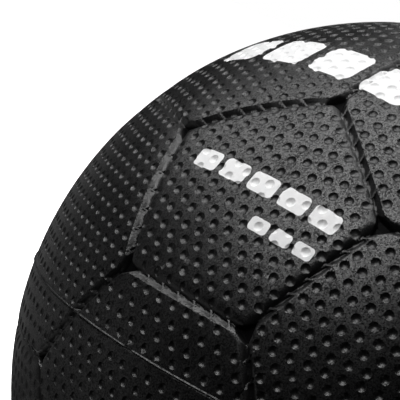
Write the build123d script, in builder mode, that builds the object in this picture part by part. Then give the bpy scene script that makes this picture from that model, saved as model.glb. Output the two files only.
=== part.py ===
from build123d import *
import math
import os

# Handball, size 3: a moulded rubber ball, millimetres.
# The origin is the ball's centre. +Z is the opening direction of the two-part mould,
# through the valve at the centre of the top five-sided field. Z = 0 is the mould's
# parting plane, where the two cover halves are vulcanised together.

# --- driving dimensions ---------------------------------------------------------
CIRCUMFERENCE = 590.0            # middle of the size 3 range, 580 to 600
BALL_R = round(CIRCUMFERENCE / (2 * math.pi), 2)   # 93.9, outside of the fields

COVER_T = 2.2                    # rubber cover
SKIN_T = 0.5                     # rubber skin over the winding
WINDING_T = 0.7                  # layers of wound thread
BLADDER_T = 0.8                  # butyl bladder

CHANNEL_W = 2.0                  # seam channel, wall to wall
CHANNEL_D = 1.0                  # seam channel depth
POCKET_REACH = 3.6               # three-way pocket, centre to corner
POCKET_D = 1.5                   # three-way pocket depth
CHANNEL_END = 1.0                # degrees from a field corner to the channel's end
BAR_COUNT = 6                    # slanted bars moulded across each channel
BAR_PITCH = 3.12                 # degrees along the channel
BAR_W = 0.5
BAR_DROP = 0.2                   # bar top below the fields
BAR_SLANT = 35.0                 # degrees from square across the channel

FLASH_W = 0.3                    # bead left along the parting line
FLASH_H = 0.2

VALVE_NECK_D = 8.0               # neck through the cover, skin, winding and bladder
VALVE_RECESS = 0.4               # neck top below the ball's surface
FLANGE_D = 22.0
FLANGE_T = 1.0
PATCH_D = 34.0
PATCH_T = 0.6
STEM_D = 9.0
STEM_END_Z = 75.5
CORE_D = 5.0
CORE_BOTTOM_Z = 79.0
CORE_RECESS = 0.6                # core top below the neck top
NEEDLE_D = 2.1                   # hole for an inflating needle of 2.0
NEEDLE_HOLE_BOTTOM_Z = 82.4
FUNNEL_D = 3.0                   # lead-in at the mouth of the needle hole
FUNNEL_DEPTH = 0.5
SLIT_W = 2.2                     # closed slit that the needle tip opens
SLIT_T = 0.15

# --- radii of the layers ----------------------------------------------------------
COVER_IN_R = BALL_R - COVER_T
SKIN_IN_R = COVER_IN_R - SKIN_T
WINDING_IN_R = SKIN_IN_R - WINDING_T
BLADDER_IN_R = WINDING_IN_R - BLADDER_T
PATCH_IN_R = BLADDER_IN_R - PATCH_T
FLANGE_IN_R = PATCH_IN_R - FLANGE_T
NECK_TOP_Z = BALL_R - VALVE_RECESS
CORE_TOP_Z = NECK_TOP_Z - CORE_RECESS

os.makedirs("parts", exist_ok=True)

# --- field layout: twelve five-sided and twenty six-sided fields -------------------
ORIGIN = Vector(0, 0, 0)
RING_Z = 1 / math.sqrt(5)
RING_R = 2 / math.sqrt(5)
poles = [Vector(0, 0, 1)]
for i in range(5):
    a = math.radians(72 * i)
    poles.append(Vector(RING_R * math.cos(a), RING_R * math.sin(a), RING_Z))
for i in range(5):
    a = math.radians(36 + 72 * i)
    poles.append(Vector(RING_R * math.cos(a), RING_R * math.sin(a), -RING_Z))
poles.append(Vector(0, 0, -1))

near = [
    [j for j in range(12) if j != i and poles[i].dot(poles[j]) > 0.4]
    for i in range(12)
]


def corner(i, j):
    """Corner of five-sided field i on the way to field j, on the unit sphere."""
    return (poles[i] * (2 / 3) + poles[j] * (1 / 3)).normalized()


corners = {(i, j): corner(i, j) for i in range(12) for j in near[i]}
seams = [(corners[i, j], corners[j, i]) for i in range(12) for j in near[i] if i < j]
for i in range(12):
    for a in range(5):
        for b in range(a):
            j, k = near[i][a], near[i][b]
            if k in near[j]:
                seams.append((corners[i, j], corners[i, k]))

# --- cutters for the seam channels and the three-way pockets -----------------------
channel_cutters = []
for u, v in seams:
    turn = math.degrees(math.acos(u.dot(v)))
    normal = u.cross(v).normalized()
    start = u.rotate(Axis(ORIGIN, normal), CHANNEL_END)
    with BuildPart() as channel:
        with BuildSketch(Plane(ORIGIN, x_dir=start, z_dir=start.cross(normal))):
            with Locations((BALL_R - CHANNEL_D / 2 + 0.5, 0)):
                Rectangle(CHANNEL_D + 1.0, CHANNEL_W)
        revolve(axis=Axis(ORIGIN, normal), revolution_arc=turn - 2 * CHANNEL_END)
        for k in range(BAR_COUNT):
            along = turn / 2 + (k - (BAR_COUNT - 1) / 2) * BAR_PITCH
            out = u.rotate(Axis(ORIGIN, normal), along)
            foot = Plane(
                out * (BALL_R - CHANNEL_D - 0.5), x_dir=normal.cross(out), z_dir=out
            )
            with Locations(foot.location * Rotation(0, 0, BAR_SLANT)):
                Box(
                    BAR_W,
                    4 * CHANNEL_W,
                    CHANNEL_D + 0.5 - BAR_DROP,
                    align=(Align.CENTER, Align.CENTER, Align.MIN),
                    mode=Mode.SUBTRACT,
                )
    channel_cutters.append((0.5 * (u + v), channel.part))

pocket_cutters = []
for (i, j), c in corners.items():
    toward = corners[j, i] - c
    toward = (toward - c * toward.dot(c)).normalized()
    with BuildPart() as pocket:
        with BuildSketch(Plane(c * (BALL_R - POCKET_D), x_dir=toward, z_dir=c)):
            RegularPolygon(POCKET_REACH, 3)
        extrude(amount=POCKET_D + 1.0)
    pocket_cutters.append((c, pocket.part))


def cutters_for(side):
    """Pockets and channels that reach the half on one side of the parting plane."""
    pockets = [p for c, p in pocket_cutters if side * c.Z > 0]
    channels = [p for m, p in channel_cutters if side * m.Z > -0.01]
    return pockets, channels


# --- cover halves -------------------------------------------------------------------
upper_pockets, upper_channels = cutters_for(1)
with BuildPart() as cover_upper_half:
    with BuildSketch(Plane.XZ):
        with BuildLine():
            RadiusArc((0, BALL_R), (BALL_R, 0), BALL_R)
            Line((BALL_R, 0), (COVER_IN_R, 0))
            RadiusArc((COVER_IN_R, 0), (0, COVER_IN_R), -COVER_IN_R)
            Line((0, COVER_IN_R), (0, BALL_R))
        make_face()
        with Locations((BALL_R - 0.2, FLASH_W / 2)):
            Rectangle(2 * (FLASH_H + 0.2), FLASH_W)
    revolve(axis=Axis.Z)
    add(upper_pockets, mode=Mode.SUBTRACT)
    add(upper_channels, mode=Mode.SUBTRACT)
    with Locations((0, 0, BALL_R)):
        Cylinder(VALVE_NECK_D / 2, 4 * COVER_T, mode=Mode.SUBTRACT)
cover_upper_half.part.label = "cover_upper_half"
export_step(cover_upper_half.part, "parts/cover_upper_half.step")

lower_pockets, lower_channels = cutters_for(-1)
with BuildPart() as cover_lower_half:
    with BuildSketch(Plane.XZ):
        with BuildLine():
            RadiusArc((0, -BALL_R), (BALL_R, 0), -BALL_R)
            Line((BALL_R, 0), (COVER_IN_R, 0))
            RadiusArc((COVER_IN_R, 0), (0, -COVER_IN_R), COVER_IN_R)
            Line((0, -COVER_IN_R), (0, -BALL_R))
        make_face()
    revolve(axis=Axis.Z)
    add(lower_pockets, mode=Mode.SUBTRACT)
    add(lower_channels, mode=Mode.SUBTRACT)
cover_lower_half.part.label = "cover_lower_half"
export_step(cover_lower_half.part, "parts/cover_lower_half.step")

# --- closed layers under the cover, each with the valve's hole -----------------------
with BuildPart() as carcass_skin:
    Sphere(COVER_IN_R)
    Sphere(SKIN_IN_R, mode=Mode.SUBTRACT)
    with Locations((0, 0, COVER_IN_R)):
        Cylinder(VALVE_NECK_D / 2, 4 * COVER_T, mode=Mode.SUBTRACT)
carcass_skin.part.label = "carcass_skin"
export_step(carcass_skin.part, "parts/carcass_skin.step")

with BuildPart() as thread_winding:
    Sphere(SKIN_IN_R)
    Sphere(WINDING_IN_R, mode=Mode.SUBTRACT)
    with Locations((0, 0, SKIN_IN_R)):
        Cylinder(VALVE_NECK_D / 2, 4 * COVER_T, mode=Mode.SUBTRACT)
thread_winding.part.label = "thread_winding"
export_step(thread_winding.part, "parts/thread_winding.step")

with BuildPart() as bladder:
    Sphere(WINDING_IN_R)
    Sphere(BLADDER_IN_R, mode=Mode.SUBTRACT)
    with Locations((0, 0, WINDING_IN_R)):
        Cylinder(VALVE_NECK_D / 2, 4 * COVER_T, mode=Mode.SUBTRACT)
bladder.part.label = "bladder"
export_step(bladder.part, "parts/bladder.step")

# --- valve ---------------------------------------------------------------------------
with BuildPart() as valve_patch:
    Sphere(BLADDER_IN_R)
    Sphere(PATCH_IN_R, mode=Mode.SUBTRACT)
    with Locations((0, 0, BALL_R)):
        Cylinder(PATCH_D / 2, 40, mode=Mode.INTERSECT)
    with Locations((0, 0, BALL_R)):
        Cylinder(VALVE_NECK_D / 2, 40, mode=Mode.SUBTRACT)
valve_patch.part.label = "valve_patch"
export_step(valve_patch.part, "parts/valve_patch.step")

with BuildPart() as valve_housing:
    Sphere(PATCH_IN_R)
    Sphere(FLANGE_IN_R, mode=Mode.SUBTRACT)
    with Locations((0, 0, BALL_R)):
        Cylinder(FLANGE_D / 2, 40, mode=Mode.INTERSECT)
    with Locations((0, 0, FLANGE_IN_R + FLANGE_T / 2)):
        Cylinder(
            VALVE_NECK_D / 2,
            NECK_TOP_Z - FLANGE_IN_R - FLANGE_T / 2,
            align=(Align.CENTER, Align.CENTER, Align.MIN),
        )
    with Locations((0, 0, STEM_END_Z)):
        Cylinder(
            STEM_D / 2,
            FLANGE_IN_R + FLANGE_T / 4 - STEM_END_Z,
            align=(Align.CENTER, Align.CENTER, Align.MIN),
        )
    with Locations((0, 0, CORE_BOTTOM_Z)):
        Cylinder(
            CORE_D / 2,
            20,
            align=(Align.CENTER, Align.CENTER, Align.MIN),
            mode=Mode.SUBTRACT,
        )
    with Locations((0, 0, CORE_BOTTOM_Z)):
        Box(SLIT_W, SLIT_T, 10, mode=Mode.SUBTRACT)
valve_housing.part.label = "valve_housing"
export_step(valve_housing.part, "parts/valve_housing.step")

with BuildPart() as valve_core:
    with Locations((0, 0, CORE_BOTTOM_Z)):
        Cylinder(
            CORE_D / 2,
            CORE_TOP_Z - CORE_BOTTOM_Z,
            align=(Align.CENTER, Align.CENTER, Align.MIN),
        )
    with Locations((0, 0, NEEDLE_HOLE_BOTTOM_Z)):
        Cylinder(
            NEEDLE_D / 2,
            20,
            align=(Align.CENTER, Align.CENTER, Align.MIN),
            mode=Mode.SUBTRACT,
        )
    with Locations((0, 0, CORE_TOP_Z - FUNNEL_DEPTH)):
        Cone(
            NEEDLE_D / 2,
            FUNNEL_D / 2,
            FUNNEL_DEPTH,
            align=(Align.CENTER, Align.CENTER, Align.MIN),
            mode=Mode.SUBTRACT,
        )
    with Locations((0, 0, CORE_BOTTOM_Z)):
        Box(SLIT_W, SLIT_T, 2 * (NEEDLE_HOLE_BOTTOM_Z - CORE_BOTTOM_Z), mode=Mode.SUBTRACT)
valve_core.part.label = "valve_core"
export_step(valve_core.part, "parts/valve_core.step")
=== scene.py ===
import math

import bpy
import numpy as np
from mathutils import Matrix, Vector
from mathutils.geometry import delaunay_2d_cdt

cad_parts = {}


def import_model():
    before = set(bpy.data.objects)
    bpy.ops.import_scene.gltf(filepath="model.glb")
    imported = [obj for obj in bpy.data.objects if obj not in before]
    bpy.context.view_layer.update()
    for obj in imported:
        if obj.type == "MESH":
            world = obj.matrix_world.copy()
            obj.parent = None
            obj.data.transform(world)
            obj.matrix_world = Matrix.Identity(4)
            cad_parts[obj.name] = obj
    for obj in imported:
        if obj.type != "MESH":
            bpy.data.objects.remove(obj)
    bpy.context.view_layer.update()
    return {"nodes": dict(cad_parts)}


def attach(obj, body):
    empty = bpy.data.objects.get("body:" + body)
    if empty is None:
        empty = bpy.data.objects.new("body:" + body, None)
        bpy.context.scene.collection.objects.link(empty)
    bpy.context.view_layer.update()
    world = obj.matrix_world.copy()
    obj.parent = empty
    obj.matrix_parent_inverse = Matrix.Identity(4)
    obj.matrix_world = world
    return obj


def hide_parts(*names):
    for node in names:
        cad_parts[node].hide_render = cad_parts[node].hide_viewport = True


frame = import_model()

# ---------------------------------------------------------------------------------
# Sizes of the cover, millimetres. The frame is the ball's centre, +Z through the
# valve, Z = 0 the parting plane of the mould.
# ---------------------------------------------------------------------------------
MM = 0.001
R = 93.9                 # crown of the fields
R_IN = 91.7              # inside of the cover
CROWN = 0.14             # how far a six-sided field drops towards its seams
CROWN_W = 2.2
CHANNEL = 1.32           # from the middle of a seam to the edge of a six-sided field
EDGE_H = -0.18           # height of that edge
SHOULDER = 3.2           # a five-sided field rolls down into its seams over this width
ROLL = 2.2               # how the roll steepens
CREASE = 0.36            # a pocket's bottom line crosses the seam at a slant, this far to each side
CREASE_W = 0.1
CHANNEL_FLOOR = -1.34    # below R
BAR_TOP = -0.7           # where the bar crosses the seam between two six-sided fields
BAR_HIGH, BAR_FALL = -0.18, 0.44  # elsewhere it falls from the six-sided field to the roll
BARS = 6
PITCH = 5.13
BAR_SHIFT = 1.6          # the bars round a five-sided field sit this far off the seam's middle
SHEAR = -0.9             # slant of the moulded bars
PIT_FLOOR = -2.12        # three-way pit at each corner
PIT_FLAT = 1.2           # its bottom reaches this far from the corner
PIT_STEEP = 2.4          # then a steep wall
PIT_EDGE, PIT_RISE = -0.5, 0.9    # and above this height a bevel
DIMPLE_A = 1.2           # radius of a dimple at its edge
DIMPLE_D = 0.55
DIMPLE_BOWL = 2.2         # 2 is a round bowl, more has a flatter bottom
DIMPLE_RINGS = ((0.5, 6), (0.88, 10), (1.13, 12), (1.26, 12))
HEX_ROW = 3.524          # dimple rows on the six-sided fields
HEX_ROW_2 = 3.34         # closer rows, where two of them straddle the field's middle
ROW_END = 2.45           # from the middle of a seam to the last dimple of a row
PENT_ROW = 3.1           # dimple rows on the five-sided fields
HOLE = 4.0               # valve hole
rng = np.random.default_rng(7)


def unit(v):
    v = np.asarray(v, float)
    return v / np.linalg.norm(v, axis=-1, keepdims=True)


def smooth(a, b, x):
    t = np.clip((x - a) / (b - a), 0, 1)
    return t * t * (3 - 2 * t)


def soft_min(a, b, k):
    """The lower of two heights, with the corner between them rounded."""
    return np.minimum(a, b) - np.maximum(k - np.abs(a - b), 0) ** 2 / (4 * k)


# --- field layout: corners of twelve five-sided and twenty six-sided fields ---------
rz, rr = 1 / math.sqrt(5), 2 / math.sqrt(5)
ICO = np.array(
    [[0, 0, 1]]
    + [[rr * math.cos(math.radians(72 * i)), rr * math.sin(math.radians(72 * i)), rz] for i in range(5)]
    + [[rr * math.cos(math.radians(36 + 72 * i)), rr * math.sin(math.radians(36 + 72 * i)), -rz] for i in range(5)]
    + [[0, 0, -1]]
)
NEAR = [[j for j in range(12) if j != i and ICO[i] @ ICO[j] > 0.4] for i in range(12)]
CORNERS = unit(np.array([ICO[i] * 2 + ICO[j] for i in range(12) for j in NEAR[i]]))
TRIPLES = [
    (i, j, k)
    for i in range(12)
    for j in NEAR[i]
    for k in NEAR[i]
    if i < j < k and k in NEAR[j]
]
PENT_R = math.acos(ICO[0] @ unit(ICO[0] * 2 + ICO[1]))
HEX_C = unit(ICO[0] + ICO[1] + ICO[2])
HEX_R = math.acos(HEX_C @ unit(ICO[0] * 2 + ICO[1]))


def frame_of(c, up):
    """Columns e1, e2, c with e2 towards up."""
    c = unit(c)
    e2 = unit(np.asarray(up, float) - c * (c @ up))
    return np.stack([np.cross(e2, c), e2, c], 1)


# --- a field drawn flat: distance and direction from its centre are true --------------
def to_flat(p):
    a = np.arccos(np.clip(p[:, 2], -1, 1)) * R
    f = np.arctan2(p[:, 1], p[:, 0])
    return np.stack([a * np.cos(f), a * np.sin(f)], 1)


def from_flat(q):
    q = np.asarray(q, float).reshape(-1, 2)
    a = np.hypot(q[:, 0], q[:, 1]) / R
    f = np.arctan2(q[:, 1], q[:, 0])
    return np.stack([np.sin(a) * np.cos(f), np.sin(a) * np.sin(f), np.cos(a)], 1)


class Field:
    """One kind of field, about its own centre at +Z, with its points and faces."""

    def __init__(self, sides, valve=False, equator=False, straddle=False):
        self.sides, self.valve, self.equator, self.straddle = sides, valve, equator, straddle
        rad, first = (PENT_R, 90.0) if sides == 5 else (HEX_R, 0.0)
        az = np.radians(first + 360 / sides * np.arange(sides))
        self.v = np.stack([np.sin(rad) * np.cos(az), np.sin(rad) * np.sin(az), np.full(sides, np.cos(rad))], 1)
        nxt = np.roll(self.v, -1, 0)
        self.n = unit(np.cross(self.v, nxt))
        self.t = np.cross(self.n, self.v)
        self.length = R * math.acos(self.v[0] @ self.v[1])
        centre = np.array([0, 0, 1.0])
        self.bis = unit(centre - self.v * (self.v @ centre)[:, None])
        # the parting plane's normal, towards the larger part of the field
        lat = math.asin(abs(unit(ICO[1] + ICO[5] + ICO[10])[2]))
        self.w = np.array([0, math.cos(lat), math.sin(lat)])
        self.lat = lat
        # which sides meet a five-sided field, and how far their bars are off the middle
        odd = 0 if equator else 1
        self.round = [sides == 6 and i % 2 == odd for i in range(sides)]
        self.shift = [BAR_SHIFT if sides == 5 else -BAR_SHIFT if self.round[i] else 0.0 for i in range(sides)]
        self.dimples = self.place_dimples()
        self.mesh()

    # where the dimples are
    def place_dimples(self):
        sites = []
        if self.sides == 5:
            sites.append((0.0, 0.0))
            for k in range(1, 9):
                reach = k * PENT_ROW / math.cos(math.radians(36))
                for j in range(5):
                    a, b = (np.radians(90 + 72 * j), np.radians(90 + 72 * (j + 1)))
                    pa = reach * np.array([np.cos(a), np.sin(a)])
                    pb = reach * np.array([np.cos(b), np.sin(b)])
                    for m in range(k):
                        sites.append(tuple(pa + (pb - pa) * m / k))
        else:
            for k in range(-10 if self.straddle else -9, 10):
                y, steps = k * HEX_ROW, 17 - abs(k)
                if self.straddle:
                    y, steps = (k + 0.5) * HEX_ROW_2, 17 - (k if k >= 0 else -k - 1)
                if self.equator:
                    below = -k - (7 if self.straddle else 6)
                    if below == -1:
                        continue
                    if below >= 0:
                        y = -R * self.lat - (2.3, 6.0, 9.9, 13.85)[below]
                        steps = 17 - abs(-6 - below)
                reach = 39.0 - abs(y) / math.sqrt(3) - ROW_END / math.cos(math.radians(30))
                for m in range(steps + 1):
                    sites.append(((2 * m / steps - 1) * reach, y))
        q = np.array(sites)
        p = from_flat(q)
        far = np.arccos(np.clip(p @ self.v.T, -1, 1)).min(1) * R
        inside = (p @ self.n.T).min(1) * R
        ok = (far > 2.9) & (inside > (1.5 if self.sides == 5 else 1.7))
        if self.valve:
            ok &= np.hypot(q[:, 0], q[:, 1]) > 6.0
        q = q[ok] + rng.normal(0, 0.06, (ok.sum(), 2))
        self.deep = 1 + rng.normal(0, 0.05, len(q))
        return from_flat(q)

    def seam(self, i, u):
        """Along edge i at slanted distance u: distance to the nearest bar, and the bottom line."""
        phase = (u - self.length / 2 - self.shift[i]) / PITCH + (BARS - 1) / 2
        bar = np.clip(np.round(phase), 0, BARS - 1)
        part = np.clip(phase, -1, BARS)
        part = np.where(part >= BARS, 1.0, part - np.floor(part))
        ends = smooth(1.5, 4.5, u) * smooth(1.5, 4.5, self.length - u)
        return np.abs(phase - bar) * PITCH, CREASE * (1 - 2 * part) * ends

    def flank(self, x, width, five):
        """Height of a channel's side, x from its bottom: a flat wall, or the roll of a five-sided field."""
        if five:
            return CHANNEL_FLOOR * np.clip(1 - x / SHOULDER, 0, 1) ** ROLL
        return CHANNEL_FLOOR + (EDGE_H - CHANNEL_FLOOR) * x / width

    # height above R of points on the unit sphere. bead is the height of the flash
    # along the parting plane, side is +1 where self.w is +Z.
    def height(self, p, half=0, side=1, bead=None):
        d = R * np.arcsin(np.clip(p @ self.n.T, -1, 1))
        s = R * np.arctan2(p @ self.t.T, p @ self.v.T)
        five = self.sides == 5
        h = np.zeros(len(p))
        if not five:
            h = -CROWN * (1 - np.prod(1 - np.exp(-((np.maximum(d, 0) / CROWN_W) ** 2)), 1))
        r = np.full(len(p), 99.0)
        which = np.zeros(len(p), int)
        for i in range(0, len(p), 4000):
            far = p[i : i + 4000] @ self.dimples.T
            which[i : i + 4000] = far.argmax(1)
            r[i : i + 4000] = R * np.arccos(np.clip(far.max(1), -1, 1))
        cap = DIMPLE_D * self.deep[which] * ((r / DIMPLE_A) ** DIMPLE_BOWL - 1)
        cap = soft_min(np.zeros(len(p)), cap, 0.03)
        if not five:
            h = h + cap
        for i in range(self.sides):
            si, di = s[:, i], d[:, i]
            off, line = self.seam(i, si - di * SHEAR)
            off = off * 0.74
            # the roll of a five-sided field is straight again above the bars
            near = line * (1 - smooth(0.2, 0.6, np.abs(di)))
            here = self.flank(np.maximum(di - (near if five else line) - CREASE_W, 0), CHANNEL - line - CREASE_W, five)
            there = self.flank(np.maximum(line - CREASE_W - di, 0), CHANNEL + line - CREASE_W, self.round[i])
            wall = np.where(di > line, here, there)
            wall = np.where((si > -1) & (si < self.length + 1), wall, 9.0)
            h = soft_min(h, wall, 0.09 if self.round[i] and not five else 0.3 if five else 0.45)
            b = (1 - smooth(0.22, 0.44, off)) * (1 - smooth(1.5, 2.0, di))
            top = BAR_TOP
            if five or self.round[i]:
                top = BAR_HIGH - BAR_FALL * np.maximum(CHANNEL + (di if five else -di), 0)
            h = h + b * np.maximum(top - h, 0)
        if five:
            h = h + cap
        q = R * np.arcsin(np.clip(p @ self.bis.T, -1, 1))
        if five:
            q = q * 0.85 + 0.5 * np.maximum(d.min(1), 0)[:, None]
        far = np.arccos(np.clip(p @ self.v.T, -1, 1)) * R
        bevel = PIT_EDGE + PIT_RISE * (q - PIT_FLAT - (PIT_EDGE - PIT_FLOOR) / PIT_STEEP)
        pit = np.minimum(bevel, PIT_FLOOR + PIT_STEEP * (q - PIT_FLAT))
        pit = np.maximum(pit, PIT_FLOOR)
        pit = np.where(far < 7, pit, 9.0).min(1)
        h = soft_min(h, pit, 0.12)
        if self.equator:
            z = side * R * np.arcsin(np.clip(p @ self.w, -1, 1))
            # the flash carries on over the channels
            web = (1 - smooth(0.3, 0.65, np.abs(z))) * (1 - smooth(1.4, 1.9, d.min(1)))
            h = h + web * np.maximum(-0.45 - h, 0)
            if half > 0:
                h = h + bead * (1 - smooth(0.14, 0.46, np.abs(z)))
            else:
                h = h - 0.14 * (1 - smooth(0.0, 0.4, np.abs(z)))
        if self.valve:
            rho = np.arccos(np.clip(p[:, 2], -1, 1)) * R
            h = h - 0.22 * (1 - smooth(HOLE, HOLE + 0.5, rho))
            h = h + 0.14 * smooth(4.5, 4.9, rho) * (1 - smooth(5.4, 5.8, rho))
        return h

    def normals(self, p, half, side, bead):
        """Directions square to the surface, from the heights close round each point."""
        e1 = unit(np.cross(p, [0.31, 0.95, 0.05]))
        e2 = np.cross(p, e1)
        near = 0.025
        out = p.copy()
        for e in (e1, e2):
            up = self.height(unit(p + e * (near / R)), half, side, bead)
            down = self.height(unit(p - e * (near / R)), half, side, bead)
            out -= e * ((up - down) / (2 * near))[:, None]
        return unit(out)

    def on_edge(self, i, s, d):
        s, d = np.asarray(s, float) / R, np.asarray(d, float) / R
        base = self.v[i] * np.cos(s)[:, None] + self.t[i] * np.sin(s)[:, None]
        return base * np.cos(d)[:, None] + self.n[i] * np.sin(d)[:, None]

    def mesh(self):
        half = self.length / 2
        marks = []
        for k in range(BARS):
            c = (k - (BARS - 1) / 2) * PITCH
            marks += [c + o for o in (-0.8, -0.64, -0.5, -0.37, -0.23, 0.0, 0.23, 0.37, 0.5, 0.64, 0.8)]
            if k < BARS - 1:
                marks += [c + PITCH * f for f in (0.26, 0.38, 0.5, 0.62, 0.74)]
        marks = np.array(marks)

        def columns(shift):
            m = half + shift + marks
            lead = np.linspace(0, m[0], 10)[:-1]
            return np.concatenate([lead, m, np.linspace(m[-1], self.length, 10)[1:]])

        self.along = [columns(x) for x in self.shift]
        per = len(self.along[0]) - 1

        pts, level = [], []  # points with their order of importance
        # edge of the field, on the middle of each channel; last point is the next edge's first
        for i in range(self.sides):
            pts.append(self.on_edge(i, self.along[i][:-1], np.zeros(per)))
            level.append(np.zeros(per, int))
        self.rim_count = self.sides * per
        fixed_edges = [(a, (a + 1) % self.rim_count) for a in range(self.rim_count)]

        if self.equator:
            # the parting line runs from the middle of one channel to the middle of another
            ends = []
            for i in range(self.sides):
                m = self.on_edge(i, [half], [0.0])[0]
                if abs(m @ self.w) < 1e-6:
                    ends.append((m, i * per + int(np.argmin(np.abs(self.along[i] - half)))))
            (pa, ia), (pb, ib) = ends
            if pa[0] > pb[0]:
                (pa, ia), (pb, ib) = (pb, ib), (pa, ia)
            turn = math.acos(pa @ pb)
            dirn = unit(pb - pa * (pa @ pb))
            near_end = np.array([0.35, 0.62, 0.8, 0.95, 1.1, 1.3, 1.6, 2.1])
            span = turn * R
            mid = np.linspace(2.1, span - 2.1, 62)[1:-1]
            arc = np.concatenate([near_end, mid, span - near_end[::-1]]) / R
            line = pa * np.cos(arc)[:, None] + dirn * np.sin(arc)[:, None]
            start = sum(len(x) for x in pts)
            pts.append(line)
            level.append(np.zeros(len(line), int))
            chain = [ia] + list(range(start, start + len(line))) + [ib]
            fixed_edges += list(zip(chain[:-1], chain[1:]))
            self.line = chain
            for z in (-1.1, -0.5, -0.22, 0.12, 0.2, 0.28, 0.37, 0.6, 1.1):
                for sg in (1, -1):
                    if sg < 0 and z not in (0.12, 0.2, 0.28, 0.37):
                        continue
                    zz = z * sg / R
                    pts.append(line * math.cos(zz) + self.w * math.sin(zz))
                    level.append(np.full(len(line), 1))

        if self.valve:
            n = 56
            a = np.arange(n) * 2 * math.pi / n
            start = sum(len(x) for x in pts)
            pts.append(from_flat(HOLE * np.stack([np.cos(a), np.sin(a)], 1)))
            level.append(np.zeros(n, int))
            fixed_edges += [(start + k, start + (k + 1) % n) for k in range(n)]
            self.hole = list(range(start, start + n))
            for rad in (4.15, 4.3, 4.5, 4.7, 4.95, 5.3, 5.5, 5.7, 5.95):
                pts.append(from_flat(rad * np.stack([np.cos(a), np.sin(a)], 1)))
                level.append(np.full(n, 1))

        # corners: an even net over each three-way pit
        for j in range(self.sides):
            e = np.cross(self.v[j], self.bis[j])
            step = 0.3
            rise = (PIT_EDGE - PIT_FLOOR) / PIT_STEEP
            lines = [0, 0.35, 0.7, 1.0] + [PIT_FLAT + rise * f for f in (0, 0.33, 0.67, 1)]
            lines += [lines[-1] + x for x in (0.28, 0.56, 0.85, 1.2, 1.6)]
            ga, gb = np.meshgrid(lines, np.arange(-4.2, 4.21, step), indexing="ij")
            gb = gb + (np.arange(len(ga)) % 2)[:, None] * step / 2
            ga, gb = ga.ravel(), gb.ravel()
            ok = np.hypot(ga, gb) < 4.1
            pts.append(unit(self.v[j] + self.bis[j] * (ga[ok] / R)[:, None] + e[None, :] * (gb[ok] / R)[:, None]))
            level.append(np.full(ok.sum(), 2))

        # channels: rows along the bottom line, the walls and the edges, slanted with the bars
        rows = []
        for i in range(self.sides):
            cols = self.along[i][(self.along[i] > 2.5) & (self.along[i] < self.length - 2.5)]
            _, line = self.seam(i, cols)
            low = [(line - 0.32, False), (line - CREASE_W, True), (line, True), (line + CREASE_W, True)]
            if self.sides == 5:
                side = [(line + x, False) for x in (0.35, 0.65, 1.0, 1.4, 1.9)]
            else:
                side = [(line + (CHANNEL - line) * 0.5, False)]
                side += [(CHANNEL + x + 0 * line, True) for x in (-0.13, -0.04, 0.05, 0.15)]
                side += [(CHANNEL + x + 0 * line, False) for x in (0.45, 0.95)]
            for d, link in low + side:
                ok = (d > 0.09) & (d > line - 0.4)
                start = sum(len(x) for x in pts)
                pts.append(self.on_edge(i, cols[ok] + d[ok] * SHEAR, d[ok]))
                level.append(np.full(ok.sum(), 3))
                if link:
                    rows.append([(start + k, int(n)) for k, n in enumerate(np.flatnonzero(ok))])

        # dimples
        rings = []
        for c in self.dimples:
            e1 = unit(np.cross(c, [0.31, 0.95, 0.05]))
            e2 = np.cross(c, e1)
            pts.append(c[None])
            level.append(np.array([4]))
            for k, (rad, n) in enumerate(DIMPLE_RINGS):
                a = (np.arange(n) + 0.5 * (k % 2)) * 2 * math.pi / n
                ring = c + (rad / R) * (np.cos(a)[:, None] * e1 + np.sin(a)[:, None] * e2)
                if k > 1:
                    start = sum(len(x) for x in pts)
                    rings.append([(start + j, start + (j + 1) % n) for j in range(n)])
                pts.append(unit(ring))
                level.append(np.full(n, 4))
        # lands between the dimples
        g = np.arange(-42, 42.1, 1.15)
        gx, gy = np.meshgrid(g, g)
        pts.append(from_flat(np.stack([gx.ravel() + 0.575 * (np.arange(len(g)) % 2)[:, None].repeat(len(g), 1).ravel(), gy.ravel()], 1)))
        level.append(np.full(gx.size, 5))

        p, lv = np.concatenate(pts), np.concatenate(level)
        inside = (p @ self.n.T).min(1) * R
        near_v = np.arccos(np.clip(p @ self.v.T, -1, 1)) * R
        dim = np.full(len(p), 99.0)
        for i in range(0, len(p), 4000):
            dim[i : i + 4000] = R * np.arccos(np.clip(p[i : i + 4000] @ self.dimples.T, -1, 1)).min(1)
        keep = (lv == 0) | (inside > 0.12)
        keep &= (lv != 2) | (inside > 0.15)
        keep &= (lv != 3) | (near_v.min(1) > 3.0)
        keep &= (lv != 4) | (inside > (0.6 if self.sides == 5 else CHANNEL + 0.1))
        keep &= (lv != 5) | ((inside > 2.0) & (dim > 1.75))
        if self.valve:
            keep &= (lv == 0) | (near_zero(p) > HOLE + 0.05)
        if self.equator:
            z = np.abs(R * np.arcsin(np.clip(p @ self.w, -1, 1)))
            keep &= (lv < 2) | (z > 0.1)
            keep &= (lv < 4) | (z > 0.5)
        flat = to_flat(p)
        room = {0: 0.0, 1: 0.1, 2: 0.2, 3: 0.075, 4: 0.15, 5: 0.75}
        chosen, cells, cell = [], {}, 0.8
        order = np.argsort(lv, kind="stable")
        for k in order:
            if not keep[k]:
                continue
            x, y = flat[k]
            cx, cy = int(math.floor(x / cell)), int(math.floor(y / cell))
            gap = room[lv[k]]
            if gap:
                g2, clash = gap * gap, False
                for a in (cx - 1, cx, cx + 1):
                    for b in (cy - 1, cy, cy + 1):
                        for xx, yy in cells.get((a, b), ()):
                            if (x - xx) ** 2 + (y - yy) ** 2 < g2:
                                clash = True
                                break
                        if clash:
                            break
                    if clash:
                        break
                if clash:
                    continue
            cells.setdefault((cx, cy), []).append((x, y))
            chosen.append(k)
        chosen = np.array(chosen)
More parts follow.
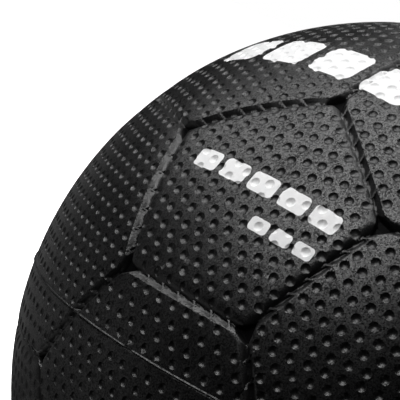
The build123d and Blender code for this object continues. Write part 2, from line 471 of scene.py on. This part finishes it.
        # the fixed points come first and keep their numbers, because level 0 sorts first in order
        renumber = {int(k): n for n, k in enumerate(chosen)}
        edges = [(renumber[a], renumber[b]) for a, b in fixed_edges]
        # rows stay whole edges in the mesh, except where one is broken by a left-out point or the parting line
        for row in rows:
            for (a, na), (b, nb) in zip(row[:-1], row[1:]):
                if a in renumber and b in renumber and nb == na + 1:
                    if self.equator and (p[a] @ self.w) * (p[b] @ self.w) <= 1e-6:
                        continue
                    edges.append((renumber[a], renumber[b]))
        # so do the edges of the dimples, clear of the channels and the parting line
        clear = 0.85 if self.sides == 5 else CHANNEL + 0.27
        for ring in rings:
            for a, b in ring:
                if a in renumber and b in renumber and min(inside[a], inside[b]) > clear:
                    if self.equator and (p[a] @ self.w) * (p[b] @ self.w) <= 1e-6:
                        continue
                    edges.append((renumber[a], renumber[b]))
        if self.equator:
            self.line = [renumber[k] for k in self.line]
        if self.valve:
            self.hole = [renumber[k] for k in self.hole]
        self.rim = [renumber[k] for k in range(self.rim_count)]
        self.p, self.flat = p[chosen], flat[chosen]
        out = delaunay_2d_cdt([Vector(x) for x in self.flat], edges, [], 1, 1e-7)
        assert len(out[0]) == len(self.flat), (len(out[0]), len(self.flat))
        back = np.array([o[0] for o in out[3]])
        faces = back[np.array([f for f in out[2] if len(f) == 3])]
        a, b, c = (self.flat[faces[:, k]] for k in range(3))
        cross = (b - a)[:, 0] * (c - a)[:, 1] - (b - a)[:, 1] * (c - a)[:, 0]
        faces[cross < 0] = faces[cross < 0][:, ::-1]
        faces = faces[np.abs(cross) > 1e-9]
        if self.valve:
            mid = self.flat[faces].mean(1)
            faces = faces[np.hypot(mid[:, 0], mid[:, 1]) > HOLE - 0.01]
        self.faces = faces


def near_zero(p):
    return np.arccos(np.clip(p[:, 2], -1, 1)) * R


pent = Field(5)
pent_valve = Field(5, valve=True)
hexa = Field(6)
hexa_line = {1: Field(6, equator=True, straddle=True), -1: Field(6, equator=True)}


class Shell:
    """Collects the points and faces of one cover half."""

    def __init__(self):
        self.co, self.nor, self.faces, self.face_uv, self.shared = [], [], [], [], {}
        self.count, self.islands = 0, 0

    def add(self, co, nor, faces, flat, keys=None):
        """keys is {point: key}: points with the same key are one point."""
        ids = np.empty(len(co), int)
        keys = keys or {}
        fresh = []
        for k in range(len(co)):
            key = keys.get(k)
            if key is not None and key in self.shared:
                ids[k] = self.shared[key]
                continue
            ids[k] = self.count
            self.count += 1
            fresh.append(k)
            if key is not None:
                self.shared[key] = ids[k]
        self.co.append(co[fresh])
        self.nor.append(nor[fresh])
        self.faces.append(ids[faces])
        col, row = self.islands % 5, self.islands // 5
        self.islands += 1
        self.face_uv.append((flat[faces] / 84.0 + 0.5 + np.array([col, row])) / 5.0)
        return ids


def corner_ids(m, field):
    world = field.v @ m.T
    return [int(np.argmax(CORNERS @ w)) for w in world]


def seam_keys(field, m, used):
    """Key of each rim point: a corner, or a seam and how far along it is."""
    ids = corner_ids(m, field)
    per = len(field.along[0]) - 1
    keys = {}
    for i in range(field.sides):
        a, b = ids[i], ids[(i + 1) % field.sides]
        for j in range(per):
            point = field.rim[i * per + j]
            if point not in used:
                continue
            if j == 0:
                keys[used[point]] = ("corner", a)
            else:
                step = j if a < b else per - j
                keys[used[point]] = ("seam", min(a, b), max(a, b), step)
    return keys


FLASH_GAPS = (-0.0715, -0.62, 0.9, 2.4, -2.2)   # longitudes where the flash is trimmed away


def add_field(shell, field, m, half, side=1, part=0):
    """part is +1 or -1 for the faces on that side of the field's own parting line."""
    faces = field.faces
    if part:
        mid = field.p[faces].mean(1) @ field.w
        faces = faces[(mid * part) > 0]
    use = np.unique(faces)
    used = {int(k): n for n, k in enumerate(use)}
    small = np.searchsorted(use, faces)
    p = field.p[use]
    place = p @ m.T
    lon = np.arctan2(place[:, 1], place[:, 0])
    bead = 0.29 + 0.05 * np.sin(lon * 23 + 1.0) + 0.04 * np.sin(lon * 61)
    for gap in FLASH_GAPS:
        bead = bead * smooth(1.1, 1.9, R * np.abs(np.angle(np.exp(1j * (lon - gap)))))
    h = field.height(p, half, side, bead)
    co = place * (R + h)[:, None]
    nor = field.normals(p, half, side, bead) @ m.T
    ids = shell.add(co, nor, small, field.flat[use], seam_keys(field, m, used))
    if part:
        shell.rim_points.update(int(ids[used[k]]) for k in field.line)
    if field.valve:
        shell.hole = [int(ids[used[k]]) for k in field.hole]


def finish_shell(shell, half):
    """Closes the shell with its rim, its inside and the wall of the valve hole."""
    co = np.concatenate(shell.co)
    rim = np.array(sorted(shell.rim_points))
    rim = rim[np.argsort(np.arctan2(co[rim, 1], co[rim, 0]))]
    co[rim, 2] = 0.0
    lon = np.arctan2(co[rim, 1], co[rim, 0])
    n = len(rim)
    inner_rim = np.stack([R_IN * np.cos(lon), R_IN * np.sin(lon), np.zeros(n)], 1)
    quarter = R_IN * math.pi / 2
    pts = list(map(tuple, quarter * np.stack([np.cos(lon), np.sin(lon)], 1)))
    edges = [(k, (k + 1) % n) for k in range(n)]
    hole = getattr(shell, "hole", None)
    if hole:
        hlon = np.arctan2(co[hole, 1], co[hole, 0])
        pts += list(map(tuple, HOLE * np.stack([np.cos(hlon), np.sin(hlon)], 1)))
        m = len(hole)
        edges += [(n + k, n + (k + 1) % m) for k in range(m)]
    first = len(pts)
    for rad in np.concatenate([[6.0, 9.0, 13.0], np.arange(18, quarter - 3, 5.0), [quarter - 1.6]]):
        k = max(12, int(2 * math.pi * rad / 5.0)) if rad < quarter - 2 else 160
        a = np.arange(k) * 2 * math.pi / k + rad
        pts += list(map(tuple, rad * np.stack([np.cos(a), np.sin(a)], 1)))
    out = delaunay_2d_cdt([Vector(x) for x in pts], edges, [], 1, 1e-7)
    back = np.array([o[0] for o in out[3]])
    tri = back[np.array(out[2])]
    q = np.array(pts)
    a, b, c = (q[tri[:, k]] for k in range(3))
    cross = (b - a)[:, 0] * (c - a)[:, 1] - (b - a)[:, 1] * (c - a)[:, 0]
    tri[cross < 0] = tri[cross < 0][:, ::-1]
    if hole:
        mid = q[tri].mean(1)
        tri = tri[np.hypot(mid[:, 0], mid[:, 1]) > HOLE - 0.01]
    ang = np.hypot(q[:, 0], q[:, 1]) / R_IN
    f = np.arctan2(q[:, 1], q[:, 0])
    inner = R_IN * np.stack([np.sin(ang) * np.cos(f), np.sin(ang) * np.sin(f), half * np.cos(ang)], 1)
    inner[:n, 2] = 0.0
    if hole:
        z = math.sqrt(R_IN**2 - HOLE**2)
        inner[n : n + m] = np.stack([HOLE * np.cos(hlon), HOLE * np.sin(hlon), np.full(m, z)], 1)
    base = len(co)
    tri_in = tri[:, ::-1] if half > 0 else tri
    faces = [np.concatenate(shell.faces), tri_in + base]
    uvs = [np.concatenate(shell.face_uv), (q[tri_in] / 300.0 * 0.9 + 0.5 + np.array([2.0, 4.0])) / 5.0]
    # rim between outside and inside
    k = np.arange(n)
    k2 = (k + 1) % n
    quad = np.stack([rim[k], base + k, base + k2, rim[k2]], 1)
    if half < 0:
        quad = quad[:, ::-1]
    def split(quad, row):
        t = np.concatenate([quad[:, [0, 1, 2]], quad[:, [0, 2, 3]]])
        c = len(quad)
        lo, hi = row, row + 0.03
        kk = np.arange(c) / c
        kn = (np.arange(c) + 1) / c
        u0 = np.stack([np.stack([kk, np.full(c, lo)], 1), np.stack([kk, np.full(c, hi)], 1), np.stack([kn, np.full(c, hi)], 1)], 1)
        u1 = np.stack([np.stack([kk, np.full(c, lo)], 1), np.stack([kn, np.full(c, hi)], 1), np.stack([kn, np.full(c, lo)], 1)], 1)
        u = np.concatenate([u0, u1])
        u[..., 0] = 0.62 + 0.36 * u[..., 0]
        return t, u
    t, u = split(quad, 0.86)
    faces.append(t)
    uvs.append(u)
    if hole:
        hole = np.array(hole)
        k = np.arange(m)
        k2 = (k + 1) % m
        quad = np.stack([hole[k], hole[k2], base + n + k2, base + n + k], 1)
        t, u = split(quad, 0.92)
        faces.append(t)
        uvs.append(u)
    # the rim, the hole and the inside keep the normals of their own faces
    nor = np.concatenate(shell.nor + [np.zeros((len(inner), 3))])
    nor[rim] = 0
    if hole is not None:
        nor[hole] = 0
    return np.concatenate([co, inner]), np.concatenate(faces), np.concatenate(uvs), nor


def make_object(name, co, faces, uv, nor):
    me = bpy.data.meshes.new(name)
    me.vertices.add(len(co))
    me.vertices.foreach_set("co", (co * MM).astype(np.float32).ravel())
    me.loops.add(len(faces) * 3)
    me.loops.foreach_set("vertex_index", faces.astype(np.int32).ravel())
    me.polygons.add(len(faces))
    me.polygons.foreach_set("loop_start", np.arange(0, len(faces) * 3, 3, dtype=np.int32))
    me.update(calc_edges=True)
    layer = me.uv_layers.new(name="OFBake")
    layer.uv.foreach_set("vector", uv.astype(np.float32).ravel())
    bad = me.validate(verbose=False)
    me.shade_smooth()
    me.set_sharp_from_angle(angle=math.radians(62))
    assert len(me.vertices) == len(nor)
    me.normals_split_custom_set_from_vertices(nor.tolist())
    ob = bpy.data.objects.new(name, me)
    bpy.context.scene.collection.objects.link(ob)
    print(name, len(co), "points", len(faces), "faces", "repaired" if bad else "sound")
    return ob


shells = {}
for half in (1, -1):
    shell = Shell()
    shell.rim_points = set()
    for i in range(12):
        if ICO[i, 2] * half < 0:
            continue
        up = ICO[NEAR[i][0]]
        kind = pent_valve if i == 0 else pent
        add_field(shell, kind, frame_of(ICO[i], up), half)
    for tri in TRIPLES:
        c = unit(ICO[list(tri)].sum(0))
        if 0 in tri or 11 in tri:
            if c[2] * half > 0:
                add_field(shell, hexa, frame_of(c, ICO[0] if half > 0 else ICO[11]), half)
            continue
        side = 1 if c[2] > 0 else -1
        m = frame_of(c, np.array([0, 0, float(side)]))
        add_field(shell, hexa_line[side], m, half, side, part=1 if side == half else -1)
    shells[half] = make_object(
        "cover_upper_shell" if half > 0 else "cover_lower_shell", *finish_shell(shell, half)
    )

# ---------------------------------------------------------------------------------
# Materials
# ---------------------------------------------------------------------------------
def new_material(name):
    m = bpy.data.materials.new(name)
    m.use_nodes = True
    nt = m.node_tree
    nt.nodes.clear()
    out = nt.nodes.new("ShaderNodeOutputMaterial")
    bsdf = nt.nodes.new("ShaderNodeBsdfPrincipled")
    nt.links.new(bsdf.outputs["BSDF"], out.inputs["Surface"])
    return m, nt, bsdf


def node(nt, kind, **values):
    n = nt.nodes.new(kind)
    for k, v in values.items():
        if k.startswith("in_"):
            n.inputs[k[3:].replace("_", " ")].default_value = v
        else:
            setattr(n, k, v)
    return n


def math_node(nt, op, a, b=None, clamp=False):
    n = nt.nodes.new("ShaderNodeMath")
    n.operation, n.use_clamp = op, clamp
    for k, v in enumerate((a, b)):
        if v is None:
            continue
        if isinstance(v, (int, float)):
            n.inputs[k].default_value = v
        else:
            nt.links.new(v, n.inputs[k])
    return n.outputs[0]


def rubber(name, base, rough, grain_size, grain, tint=0.25, spec=(0.4, 0.6), speck=0.4):
    """Matte moulded rubber: fine grain in height and gloss, faint mottling in colour."""
    m, nt, bsdf = new_material(name)
    where = node(nt, "ShaderNodeTexCoord").outputs["Object"]
    fine = node(nt, "ShaderNodeTexNoise", in_Scale=1.0 / (grain_size * MM), in_Detail=2.0, in_Roughness=0.65)
    wide = node(nt, "ShaderNodeTexNoise", in_Scale=1.0 / (9 * MM), in_Detail=4.0, in_Roughness=0.55)
    for n in (fine, wide):
        nt.links.new(where, n.inputs["Vector"])
    ramp = node(nt, "ShaderNodeValToRGB")
    dark = tuple(c * (1 - tint) for c in base) + (1,)
    light = tuple(c * (1 + tint) for c in base) + (1,)
    ramp.color_ramp.elements[0].position, ramp.color_ramp.elements[0].color = 0.3, dark
    ramp.color_ramp.elements[1].position, ramp.color_ramp.elements[1].color = 0.7, light
    nt.links.new(wide.outputs["Fac"], ramp.inputs["Fac"])

    def spread(source, lo, hi, socket):
        n = node(nt, "ShaderNodeMapRange")
        n.inputs["From Min"].default_value, n.inputs["From Max"].default_value = 0.33, 0.67
        n.inputs["To Min"].default_value, n.inputs["To Max"].default_value = lo, hi
        nt.links.new(source.outputs["Fac"], n.inputs["Value"])
        nt.links.new(n.outputs["Result"], bsdf.inputs[socket])

    spread(wide, rough - 0.04, rough + 0.04, "Roughness")
    # specks of duller and glossier skin
    specks = node(nt, "ShaderNodeTexVoronoi", in_Scale=1.0 / (speck * MM))
    nt.links.new(where, specks.inputs["Vector"])
    part = node(nt, "ShaderNodeSeparateColor")
    nt.links.new(specks.outputs["Color"], part.inputs["Color"])
    level = node(nt, "ShaderNodeMapRange")
    level.inputs["To Min"].default_value, level.inputs["To Max"].default_value = spec
    nt.links.new(part.outputs["Red"], level.inputs["Value"])
    nt.links.new(level.outputs["Result"], bsdf.inputs["Specular IOR Level"])
    bump = node(nt, "ShaderNodeBump", in_Strength=1.0, in_Distance=grain * MM)
    nt.links.new(fine.outputs["Fac"], bump.inputs["Height"])
    nt.links.new(bump.outputs["Normal"], bsdf.inputs["Normal"])
    nt.links.new(ramp.outputs["Color"], bsdf.inputs["Base Color"])
    return m, nt, bsdf, where, ramp


cover_mat, cnt, cbsdf, cwhere, cramp = rubber(
    "cover_rubber", (0.0042, 0.0042, 0.0044), 0.36, 0.4, 0.06, tint=0.2, spec=(0.04, 0.96), speck=0.31
)


# painted shade: the gloss drops with depth below 1 mm, to almost nothing at the bottoms of the pits, so the pits and
# the channel floors render dark as if in shade
depth = node(cnt, "ShaderNodeVectorMath", operation="LENGTH")
cnt.links.new(cwhere, depth.inputs[0])
pit_painted_shade = node(cnt, "ShaderNodeMapRange", interpolation_type="SMOOTHSTEP")
pit_painted_shade.inputs["From Min"].default_value, pit_painted_shade.inputs["From Max"].default_value = (R - 1.95) * MM, (R - 1.0) * MM
pit_painted_shade.inputs["To Min"].default_value, pit_painted_shade.inputs["To Max"].default_value = 0.02, 1.0
cnt.links.new(depth.outputs["Value"], pit_painted_shade.inputs["Value"])
gloss = cbsdf.inputs["Specular IOR Level"].links[0].from_socket
# the specks fade out in the dimples and channels
for end, low, high in (("To Min", 0.42, 0.04), ("To Max", 0.72, 0.96)):
    fade = node(cnt, "ShaderNodeMapRange", interpolation_type="SMOOTHSTEP")
    fade.inputs["From Min"].default_value, fade.inputs["From Max"].default_value = (R - 0.5) * MM, (R - 0.15) * MM
    fade.inputs["To Min"].default_value, fade.inputs["To Max"].default_value = low, high
    cnt.links.new(depth.outputs["Value"], fade.inputs["Value"])
    cnt.links.new(fade.outputs["Result"], gloss.node.inputs[end])
# the gloss times the painted shade of the pits and channel floors
cnt.links.new(math_node(cnt, "MULTIPLY", gloss, pit_painted_shade.outputs["Result"]), cbsdf.inputs["Specular IOR Level"])
# the fields are grained; the channels are smoother
sleek = node(cnt, "ShaderNodeMapRange", interpolation_type="SMOOTHSTEP")
sleek.inputs["From Min"].default_value, sleek.inputs["From Max"].default_value = (R - 1.0) * MM, (R - 0.5) * MM
sleek.inputs["To Min"].default_value, sleek.inputs["To Max"].default_value = 0.82, 1.0
cnt.links.new(depth.outputs["Value"], sleek.inputs["Value"])
matt = cbsdf.inputs["Roughness"].links[0].from_socket
cnt.links.new(math_node(cnt, "MULTIPLY", matt, sleek.outputs["Result"]), cbsdf.inputs["Roughness"])


# --- print: plain dashes in white ink, placed by distances along the surface -----------
def dot(nt, vec, v):
    n = nt.nodes.new("ShaderNodeVectorMath")
    n.operation = "DOT_PRODUCT"
    nt.links.new(vec, n.inputs[0])
    n.inputs[1].default_value = tuple(float(x) for x in v)
    return n.outputs["Value"]


def dashes(nt, x, y, start, count, pitch, length, height, corner, rough_edge):
    """Distance, in millimetres, to the nearest of a row of rounded dashes; negative inside."""
    u = math_node(nt, "SUBTRACT", x, start)
    i = math_node(nt, "FLOOR", math_node(nt, "DIVIDE", u, pitch))
    i = math_node(nt, "MINIMUM", math_node(nt, "MAXIMUM", i, 0.0), count - 1.0)
    mid = math_node(nt, "MULTIPLY", math_node(nt, "ADD", i, 0.5), pitch)
    qx = math_node(nt, "SUBTRACT", math_node(nt, "ABSOLUTE", math_node(nt, "SUBTRACT", u, mid)), length / 2 - corner)
    qy = math_node(nt, "SUBTRACT", math_node(nt, "ABSOLUTE", y), height / 2 - corner)
    ox, oy = math_node(nt, "MAXIMUM", qx, 0.0), math_node(nt, "MAXIMUM", qy, 0.0)
    out = math_node(nt, "SQRT", math_node(nt, "ADD", math_node(nt, "MULTIPLY", ox, ox), math_node(nt, "MULTIPLY", oy, oy)))
    inn = math_node(nt, "MINIMUM", math_node(nt, "MAXIMUM", qx, qy), 0.0)
    d = math_node(nt, "SUBTRACT", math_node(nt, "ADD", out, inn), corner)
    return math_node(nt, "ADD", d, rough_edge)


unit_where = node(cnt, "ShaderNodeVectorMath", operation="NORMALIZE")
cnt.links.new(cwhere, unit_where.inputs[0])
direction = unit_where.outputs["Vector"]
ragged = node(cnt, "ShaderNodeTexNoise", in_Scale=1.0 / (0.7 * MM), in_Detail=2.0)
cnt.links.new(cwhere, ragged.inputs["Vector"])
ragged = math_node(cnt, "MULTIPLY", math_node(cnt, "SUBTRACT", ragged.outputs["Fac"], 0.5), 0.12)
# two lines on one five-sided field, distances from its centre
e1, e2, centre = frame_of(ICO[1], ICO[0]).T
front = dot(cnt, direction, centre)
px = math_node(cnt, "MULTIPLY", math_node(cnt, "DIVIDE", dot(cnt, direction, e1), front), R)
py = math_node(cnt, "MULTIPLY", math_node(cnt, "DIVIDE", dot(cnt, direction, e2), front), R)
line_1 = dashes(cnt, px, math_node(cnt, "SUBTRACT", py, 4.2), -20.7, 5, 9.2, 7.7, 5.1, 1.2, ragged)
line_2 = dashes(cnt, px, math_node(cnt, "SUBTRACT", py, -4.8), 4.9, 3, 6.5, 5.3, 3.5, 1.0, ragged)
# one band over the fields above it, round an axis of its own
axis = unit([-0.745, 0.0175, 0.6668])
a1 = unit(unit([0.642, -0.149, 0.752]) - axis * (unit([0.642, -0.149, 0.752]) @ axis))
a2 = np.cross(axis, a1)
turn = math_node(cnt, "ARCTAN2", dot(cnt, direction, a2), dot(cnt, direction, a1))
bx = math_node(cnt, "MULTIPLY", turn, R)
by = math_node(cnt, "SUBTRACT", math_node(cnt, "MULTIPLY", math_node(cnt, "ARCCOSINE", dot(cnt, direction, axis)), R), math.radians(83.8) * R)
band = dashes(cnt, bx, by, -38.0, 7, 16.5, 13.5, 12.0, 2.6, ragged)
near = math_node(cnt, "MINIMUM", math_node(cnt, "MINIMUM", line_1, line_2), band)
ink = node(cnt, "ShaderNodeMapRange", interpolation_type="SMOOTHSTEP")
ink.inputs["From Min"].default_value, ink.inputs["From Max"].default_value = 0.07, -0.07
cnt.links.new(near, ink.inputs["Value"])
ink = math_node(cnt, "MULTIPLY", ink.outputs["Result"], math_node(cnt, "GREATER_THAN", front, 0.2))
ink_tone = node(cnt, "ShaderNodeTexNoise", in_Scale=1.0 / (1.6 * MM), in_Detail=3.0)
cnt.links.new(cwhere, ink_tone.inputs["Vector"])
ink_ramp = node(cnt, "ShaderNodeValToRGB")
ink_ramp.color_ramp.elements[0].position, ink_ramp.color_ramp.elements[0].color = 0.25, (0.79, 0.79, 0.795, 1)
ink_ramp.color_ramp.elements[1].position, ink_ramp.color_ramp.elements[1].color = 0.65, (0.85, 0.85, 0.85, 1)
cnt.links.new(ink_tone.outputs["Fac"], ink_ramp.inputs["Fac"])
cover_colour = node(cnt, "ShaderNodeMix", data_type="RGBA")
cnt.links.new(ink, cover_colour.inputs["Factor"])
cnt.links.new(cramp.outputs["Color"], cover_colour.inputs["A"])
cnt.links.new(ink_ramp.outputs["Color"], cover_colour.inputs["B"])
cnt.links.new(cover_colour.outputs["Result"], cbsdf.inputs["Base Color"])

for ob in shells.values():
    ob.data.materials.append(cover_mat)
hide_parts("cover_upper_half")
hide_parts("cover_lower_half")
for ob in shells.values():
    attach(ob, "root")

inside = {
    "carcass_skin": ((0.08, 0.075, 0.07), 0.6),
    "thread_winding": ((0.75, 0.73, 0.66), 0.8),
    "bladder": ((0.05, 0.05, 0.05), 0.45),
    "valve_patch": ((0.1, 0.1, 0.1), 0.6),
    "valve_housing": ((0.035, 0.035, 0.036), 0.42),
    "valve_core": ((0.07, 0.07, 0.07), 0.4),
}
for name, (colour, rough) in inside.items():
    mat = rubber(name + "_look", colour, rough, 0.6, 0.05)[0]
    ob = frame["nodes"][name]
    ob.data.materials.clear()
    ob.data.materials.append(mat)

# ---------------------------------------------------------------------------------
# Camera, from the photograph's viewing angle
# ---------------------------------------------------------------------------------
FOCAL = 2188.51          # pixels, in a frame 400 wide
rv = np.array([-1.111028, -1.474538, -2.037011])
angle = np.linalg.norm(rv)
kx, ky, kz = rv / angle
K = np.array([[0, -kz, ky], [kz, 0, -kx], [-ky, kx, 0]])
ROT = np.eye(3) + math.sin(angle) * K + (1 - math.cos(angle)) * K @ K   # object to camera
look = unit(np.array([(377.8734 - 200) / FOCAL, -(389.2973 - 200) / FOCAL, -1.0]))
BALL_IN_CAMERA = look * 6.016254 * R * MM


def world(v):
    """A point given in the camera's axes, from the ball's centre, in the ball's frame."""
    return Vector(ROT.T @ np.asarray(v, float))


cam = bpy.data.cameras.new("camera")
cam.sensor_fit, cam.sensor_width = "HORIZONTAL", 36.0
cam.lens = 36.0 * FOCAL / 400.0
cam.clip_start, cam.clip_end = 0.02, 20.0
cam_ob = bpy.data.objects.new("camera", cam)
bpy.context.scene.collection.objects.link(cam_ob)
mat4 = Matrix(ROT.T.tolist()).to_4x4()
mat4.translation = Vector(ROT.T @ -BALL_IN_CAMERA)
cam_ob.matrix_world = mat4
bpy.context.scene.camera = cam_ob

# ---------------------------------------------------------------------------------
# Floor, light and background
# ---------------------------------------------------------------------------------
import bmesh

floor_me = bpy.data.meshes.new("floor")
bm = bmesh.new()
bmesh.ops.create_grid(bm, x_segments=8, y_segments=8, size=3.0)
bm.to_mesh(floor_me)
bm.free()
floor = bpy.data.objects.new("floor", floor_me)
floor.location = (0, 0, -R * MM)
bpy.context.scene.collection.objects.link(floor)
fm, fnt, fb = new_material("floor_pale")
fb.inputs["Base Color"].default_value = (0.86, 0.86, 0.86, 1)
fb.inputs["Roughness"].default_value = 0.9
fb.inputs["Specular IOR Level"].default_value = 0.1
floor_me.materials.append(fm)
floor.visible_diffuse = floor.visible_glossy = floor.visible_shadow = False
# a lamp of its own keeps the floor white
sun = bpy.data.lights.new("floor_lamp", "SUN")
sun.energy, sun.angle = 4.0, math.radians(40)
sun_ob = bpy.data.objects.new("floor_lamp", sun)
bpy.context.scene.collection.objects.link(sun_ob)
lit = bpy.data.collections.new("floor_only")
lit.objects.link(floor)
sun_ob.light_linking.receiver_collection = lit


def area(name, place, aim, size, power, colour=(1, 1, 1)):
    """A soft box: place and aim in the camera's axes, metres from the ball's centre."""
    light = bpy.data.lights.new(name, "AREA")
    light.shape, light.size, light.size_y = "RECTANGLE", size[0], size[1]
    light.energy, light.color = power, colour
    ob = bpy.data.objects.new(name, light)
    p, a = world(place), world(aim)
    ob.matrix_world = (a - p).to_track_quat("-Z", "Y").to_matrix().to_4x4()
    ob.location = p
    bpy.context.scene.collection.objects.link(ob)
    return ob


# a ceiling of soft panels, weak bounce from the left, and fill for the right and the back
PANELS = (
    ((0.4, 1.05, 0.15), 4.1), ((-0.1, 1.05, 0.15), 2.7), ((-0.6, 1.05, 0.15), 1.1),
    ((-0.1, 1.05, -0.3), 1.3), ((-0.6, 1.05, -0.3), 1.7), ((-0.6, 1.05, 0.5), 1.7),
    ((-0.1, 1.05, 0.85), 4.7), ((-0.6, 1.05, 0.85), 1.7), ((-1.03, -0.37, 0.0), 0.3),
    ((-0.73, -0.37, -0.73), 0.35), ((-1.08, 0.19, 0.0), 0.19), ((-0.54, 0.19, -0.93), 0.14),
    ((-0.93, 0.19, -0.54), 0.13), ((0.95, 0.65, -0.1), 2.2), ((0.45, 0.8, -0.75), 1.6),
    ((1.0, 0.1, -0.6), 1.5), ((0.35, 0.25, -1.1), 1.5), ((1.05, -0.2, 0.0), 0.5),
    ((0.55, -0.75, 0.55), 0.15), ((-0.35, 0.9, 0.92), 0.45),
)
for k, (place, power) in enumerate(PANELS):
    area(f"panel_{k + 1}", place, (0, 0, 0), (0.5, 0.45), power).visible_camera = False

scene = bpy.context.scene
scene.view_settings.view_transform = "Standard"
wd = bpy.data.worlds.new("studio")
wd.use_nodes = True
scene.world = wd
wnt = wd.node_tree
wnt.nodes.clear()
wout = wnt.nodes.new("ShaderNodeOutputWorld")
back_seen = node(wnt, "ShaderNodeBackground")
back_seen.inputs["Color"].default_value = (1, 1, 1, 1)
back_seen.inputs["Strength"].default_value = 1.0
back_light = node(wnt, "ShaderNodeBackground")
back_light.inputs["Color"].default_value = (1, 1, 1, 1)
back_light.inputs["Strength"].default_value = 0.003
path = node(wnt, "ShaderNodeLightPath")
mix = node(wnt, "ShaderNodeMixShader")
wnt.links.new(path.outputs["Is Camera Ray"], mix.inputs[0])
wnt.links.new(back_light.outputs[0], mix.inputs[1])
wnt.links.new(back_seen.outputs[0], mix.inputs[2])
wnt.links.new(mix.outputs[0], wout.inputs["Surface"])
